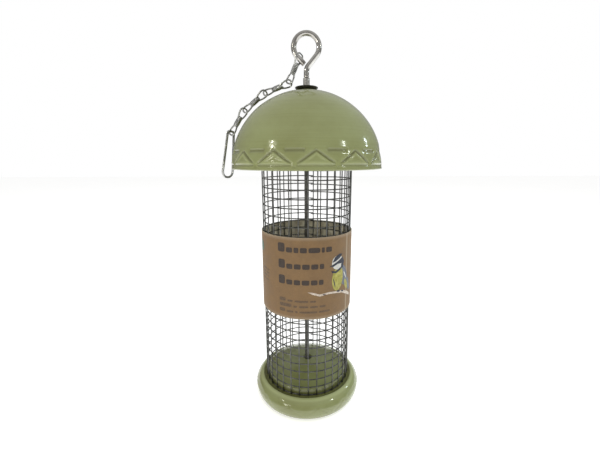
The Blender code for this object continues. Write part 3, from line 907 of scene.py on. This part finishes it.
def printed(name, shapes, radius, top, finish):
    """Flat shapes laid on the sleeve: (across, down) points in metres from its front and top."""
    shape = bmesh.new()
    for outline in shapes:
        shape.faces.new([shape.verts.new((u, v, 0)) for u, v in outline])
    widest = max(abs(u) for outline in shapes for u, _ in outline)
    at = -widest
    while at < widest:
        bmesh.ops.bisect_plane(
            shape,
            geom=[*shape.verts, *shape.edges, *shape.faces],
            plane_co=(at, 0, 0),
            plane_no=(1, 0, 0),
        )
        at += 1.0 * MM
    bmesh.ops.triangulate(shape, faces=shape.faces)
    shape.verts.index_update()
    points = np.array([v.co for v in shape.verts])
    faces = [[v.index for v in face.verts] for face in shape.faces]
    shape.free()
    turn = points[:, 0] / radius
    placed = np.stack([radius * np.sin(turn), -radius * np.cos(turn), top - points[:, 1]], 1)
    made = mesh_object(name, placed, faces, finish, "sleeve")
    shape = bmesh.new()
    shape.from_mesh(made.data)
    for face in shape.faces:
        middle = face.calc_center_median()
        if face.normal.dot(Vector((middle.x, middle.y, 0))) < 0:
            face.normal_flip()
    shape.to_mesh(made.data)
    shape.free()


def blob(across, down, wide, tall, tilt=0.0, steps=24, power=2.0):
    """An oval, or a rounded box with a higher power, as (across, down) points."""
    out = []
    for i in range(steps):
        a = 2 * pi * i / steps
        u = wide / 2 * np.sign(cos(a)) * abs(cos(a)) ** (2 / power)
        v = tall / 2 * np.sign(sin(a)) * abs(sin(a)) ** (2 / power)
        out.append((across + u * cos(tilt) - v * sin(tilt), down + u * sin(tilt) + v * cos(tilt)))
    return out


def scaled(points):
    return [(u * MM, v * MM) for u, v in points]


def word_bars(across, down, widths, tall, gap):
    """A row of plain rounded bars that stands for a line of print."""
    out = []
    for i, wide in enumerate(widths):
        rise = tall * (1.75 if i == 0 else 1.0)
        out.append(scaled(blob(across + wide / 2, down - rise / 2, wide, rise, 0, 16, 5)))
        across += wide + gap
    return out


def build_prints(radius, top):
    ink = dull("brown black ink", (0.018, 0.010, 0.006), (0.050, 0.030, 0.018), 0.55, 1400)
    faded = dull("faded brown ink", (0.075, 0.045, 0.022), (0.125, 0.078, 0.042), 0.6, 1400)
    lift = 0.02 * MM
    lines = []
    lines += word_bars(-21.3, 10.6, [5.6, 4.6, 3.4, 4.8, 8.2, 2.2, 4.6], 3.7, 1.0)
    lines += word_bars(-21.0, 22.2, [5.4, 4.6, 4.8, 5.2, 5.0, 3.2], 3.7, 1.0)
    lines += word_bars(-21.0, 33.6, [5.2, 4.6, 4.6, 5.4, 4.6, 3.4], 3.7, 1.0)
    printed("print_main_lines", lines, radius + lift, top, ink)
    small = word_bars(-20.6, 46.3, [5.2, 4.0, 9.8, 4.2], 1.5, 1.3)
    small += word_bars(-20.6, 50.3, [9.6, 2.8, 6.6, 5.4, 4.6], 1.5, 1.3)
    small += word_bars(-20.6, 54.3, [4.6, 5.0, 1.8, 12.6, 8.4], 1.5, 1.3)
    small += word_bars(-40.5, 27.0, [5.5, 3.2], 0.8, 0.8) + word_bars(-40.5, 29.6, [4.0, 4.4], 0.8, 0.8)
    small += word_bars(-40.5, 32.2, [6.2, 2.0], 0.8, 0.8) + word_bars(-40.5, 34.8, [3.0, 4.6], 0.8, 0.8)
    printed("print_small_lines", small, radius + lift, top, faded)
    mark = dull("green ink", (0.035, 0.085, 0.055), (0.065, 0.130, 0.085), 0.55, 1200)
    printed("print_round_mark", [scaled(blob(-43.5, 10.5, 8.4, 8.4, 0, 40))], radius + lift, top, mark)
    build_bird(radius, top)


def build_bird(radius, top):
    """A small plain songbird on a twig."""
    inks = {
        "twig": dull("pale twig ink", (0.42, 0.34, 0.27), (0.66, 0.58, 0.50), 0.6, 900),
        "breast": dull("yellow green ink", (0.26, 0.24, 0.035), (0.42, 0.38, 0.09), 0.6, 500),
        "back": dull("grey blue ink", (0.085, 0.095, 0.12), (0.17, 0.18, 0.22), 0.6, 700),
        "white": dull("white ink", (0.46, 0.45, 0.42), (0.62, 0.61, 0.58), 0.6, 900),
        "dark": dull("blue black ink", (0.008, 0.010, 0.022), (0.022, 0.026, 0.045), 0.55, 900),
    }
    layers = [
        ("twig", [[(0.5, 38.6), (4, 38.9), (9, 40.6), (16, 39.9), (23, 40.6), (29, 41.4), (35, 44.0),
                   (40, 47.0), (40, 49.0), (34, 46.0), (28.5, 43.2), (22, 41.9), (16, 41.3),
                   (9, 42.1), (4, 40.4)]]),
        ("back", [blob(29.8, 30.0, 9.0, 17.0, -0.35), [(31, 35), (37.0, 33.5), (41, 43.5), (38.5, 44.5)]]),
        ("breast", [blob(23.9, 31.2, 10.6, 18.0, 0.12), blob(33.6, 38.0, 3.6, 9.0, -0.4)]),
        ("white", [blob(23.6, 19.4, 10.6, 10.2, 0.1), blob(32.0, 30.4, 1.1, 7.0, -0.5)]),
        ("dark", [
            [(18.6, 18.9), (21.0, 15.2), (25.0, 13.3), (28.4, 13.8), (26.0, 16.2), (22.0, 18.2)],
            [(16.4, 21.4), (19.4, 20.2), (24.0, 18.4), (28.6, 16.0), (30.4, 19.4), (29.2, 24.2),
             (26.6, 24.4), (27.3, 20.6), (23.6, 20.5), (19.6, 21.9)],
            [(17.8, 24.7), (21.6, 25.5), (26.6, 23.4), (27.2, 25.0), (22.0, 27.1), (18.4, 26.2)],
            blob(20.6, 34.0, 0.9, 7.0, -0.25), blob(24.6, 41.0, 3.6, 1.3, 0.2),
            blob(28.9, 42.0, 3.0, 1.2, 0.3), blob(12.4, 41.2, 2.6, 0.8, 0.2),
        ]),
    ]
    for i, (ink, shapes) in enumerate(layers):
        printed(
            f"print_{ink}", [scaled(s) for s in shapes], radius + (0.03 + 0.015 * i) * MM, top, inks[ink]
        )


# Setting ---------------------------------------------------------------------


def build_floor():
    g = Graph("pale floor")
    tone = g.noise(6, 3)
    colour = g.ramp(tone, (0.3, (0.90, 0.90, 0.90)), (0.7, (0.93, 0.93, 0.93)))
    g.finish(Base_Color=colour, Roughness=0.9, Emission_Color=(1, 1, 1, 1), Emission_Strength=0.5)
    mesh = bpy.data.meshes.new("floor")
    shape = bmesh.new()
    bmesh.ops.create_grid(shape, x_segments=8, y_segments=8, size=4.0)
    shape.to_mesh(mesh)
    shape.free()
    floor = bpy.data.objects.new("floor", mesh)
    floor.location.z = cad_box[0].z - 0.0002
    bpy.context.scene.collection.objects.link(floor)
    mesh.materials.append(g.material)


def area_light(name, azimuth, elevation, distance, size, power, colour, aim):
    data = bpy.data.lights.new(name, "AREA")
    data.shape = "RECTANGLE"
    data.size, data.size_y = size
    data.energy = power
    data.color = colour
    lamp = bpy.data.objects.new(name, data)
    a, e = radians(azimuth), radians(elevation)
    way = Vector((sin(a) * cos(e), -cos(a) * cos(e), sin(e)))
    lamp.location = aim + way * distance
    lamp.rotation_euler = (-way).to_track_quat("-Z", "Y").to_euler()
    bpy.context.scene.collection.objects.link(lamp)
    return lamp


def build_lights():
    """A white room: even light from all round, brighter from above, and a few soft windows."""
    world = bpy.data.worlds.new("studio")
    world.use_nodes = True
    bpy.context.scene.world = world
    tree = world.node_tree
    background = tree.nodes["Background"]
    output = tree.nodes["World Output"]
    coordinate = tree.nodes.new("ShaderNodeTexCoord")
    split = tree.nodes.new("ShaderNodeSeparateXYZ")
    ramp = tree.nodes.new("ShaderNodeValToRGB")
    tree.links.new(coordinate.outputs["Generated"], split.inputs[0])
    tree.links.new(split.outputs["Z"], ramp.inputs[0])
    ramp.color_ramp.elements[0].position = 0.0
    ramp.color_ramp.elements[0].color = (0.34, 0.34, 0.33, 1)
    ramp.color_ramp.elements[1].position = 0.75
    ramp.color_ramp.elements[1].color = (0.95, 0.95, 0.94, 1)
    tree.links.new(ramp.outputs[0], background.inputs[0])
    background.inputs[1].default_value = 0.62
    seen = tree.nodes.new("ShaderNodeBackground")
    seen.inputs[0].default_value = (1, 1, 1, 1)
    seen.inputs[1].default_value = 1.0
    path = tree.nodes.new("ShaderNodeLightPath")
    mix = tree.nodes.new("ShaderNodeMixShader")
    tree.links.new(path.outputs["Is Camera Ray"], mix.inputs[0])
    tree.links.new(background.outputs[0], mix.inputs[1])
    tree.links.new(seen.outputs[0], mix.inputs[2])
    tree.links.new(mix.outputs[0], output.inputs[0])
    aim = (cad_box[0] + cad_box[1]) / 2
    overhead = area_light("overhead", -10, 80, 1.3, (1.8, 1.8), 8.5, (1, 1, 0.97), aim)
    overhead.visible_glossy = False
    area_light("left_window", -54, 28, 1.0, (0.05, 0.06), 0.5, (1, 0.98, 0.86), aim)
    area_light("low_left_window", -42, 8, 1.0, (0.24, 0.07), 1.0, (1, 0.98, 0.86), aim)
    area_light("right_window", 58, 27, 1.0, (0.05, 0.09), 0.5, (0.95, 1.0, 0.95), aim)
    area_light("far_right_window", 106, 24, 1.0, (0.06, 0.12), 0.5, (0.80, 0.93, 1.0), aim)
    wall = area_light("right_wall", 112, 20, 1.0, (0.9, 1.0), 4.2, (0.80, 0.93, 1.0), aim)
    wall.visible_glossy = False
    fill = area_light("front_fill", -15, 14, 1.2, (0.8, 0.6), 0.8, (1, 0.98, 0.90), aim)
    fill.visible_glossy = False


def build_camera():
    data = bpy.data.cameras.new("camera")
    data.sensor_width = 36
    data.lens = 19.12
    data.shift_x = -0.0112
    in_front, height = 0.2411, 0.1863
    tilt, lean = radians(11.2), radians(-0.12)
    data.clip_start = 0.01
    camera = bpy.data.objects.new("camera", data)
    bpy.context.scene.collection.objects.link(camera)
    axis_x = high("tray").x + low("tray").x
    camera.location = (axis_x / 2, -in_front, height)
    pitch = Matrix.Rotation(pi / 2 - tilt, 4, "X")
    roll = Matrix.Rotation(lean, 4, "Z")
    camera.rotation_euler = (pitch @ roll).to_euler()
    bpy.context.scene.camera = camera


build_camera()
build_lid()
build_tray()
build_rod()
build_fastenings()
build_lid_washer()
build_collar()
build_eye()
build_chain()
build_cage()
build_sleeve()
build_floor()
build_lights()
bpy.context.scene.view_settings.view_transform = "Standard"
